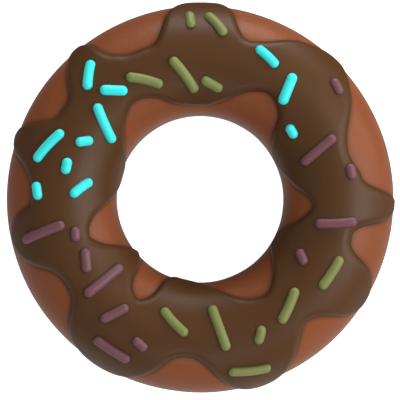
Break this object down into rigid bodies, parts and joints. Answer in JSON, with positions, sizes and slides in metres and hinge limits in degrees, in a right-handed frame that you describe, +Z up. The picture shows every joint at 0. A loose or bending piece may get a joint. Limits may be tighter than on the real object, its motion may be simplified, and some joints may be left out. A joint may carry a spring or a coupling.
{
  "type": "sprinkle frosted doughnut",
  "caption": "Fried ring doughnut with chocolate icing that runs down its sides and into its hole in rounded drips, scattered with short and long sugar sprinkles.",
  "frame": {"origin": "middle of the ring on the surface that the doughnut lies on", "axes": "+Z up through the hole; +X and +Y lie flat, and the icing's drips fix their direction"},
  "size_m": [0.0902, 0.0907, 0.0251],
  "materials": {
    "dough": "fried dough crust, reddish brown, soft satin",
    "icing": "set chocolate icing, dark brown, soft broad sheen",
    "cyan_sprinkles": "bright cyan sugar, softly rounded",
    "green_sprinkles": "olive green sugar, softly rounded",
    "mauve_sprinkles": "dull mauve sugar, softly rounded"
  },
  "bodies": {
    "root": {"dough": "dough", "icing": "icing"}
  },
  "joints": []
}
